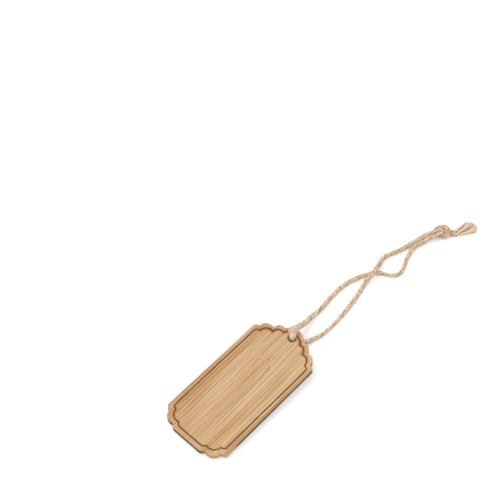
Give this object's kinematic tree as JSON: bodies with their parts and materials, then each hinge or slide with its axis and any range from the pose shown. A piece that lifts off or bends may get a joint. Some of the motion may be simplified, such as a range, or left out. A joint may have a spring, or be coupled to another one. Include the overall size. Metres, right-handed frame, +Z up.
{
  "type": "wooden plant tag",
  "caption": "Flat bamboo plant tag with scalloped ends and a burnt border line, hung by a knotted loop of jute twine through a hole near one end.",
  "frame": {"origin": "on the table, under the middle of the board as it lies", "axes": "+X along the board towards its hole, +Y across the board, +Z up out of the burnt face; the board lies with its far end on the table and its hole end on the twine"},
  "size_m": [0.1794, 0.0402, 0.0075],
  "materials": {
    "bamboo": "bare sanded bamboo with charred edges and a burnt line",
    "jute": "two-ply twisted jute twine, fuzzy"
  },
  "bodies": {
    "tag": {"tag_board": "bamboo"},
    "bight": {"twine_bight": "jute"},
    "loop": {"twine_leg_upper": "jute", "twine_leg_lower": "jute", "twine_knot": "jute", "twine_tail_upper": "jute", "twine_tail_lower": "jute"}
  },
  "joints": [
    {"name": "loop_swivel", "type": "hinge", "parent": "tag", "child": "bight", "pos_m": [0.03128, 0, 0.0036], "axis": [-0.0348, 0, 0.9994], "range_deg": [-30, 30]},
    {"name": "loop_swing", "type": "hinge", "parent": "bight", "child": "loop", "pos_m": [0.04163, -0.0024, 0.00232], "axis": [-0.0116, 0.9548, 0.2969], "range_deg": [-120, 120], "deforming": ["twine_bight"]}
  ]
}
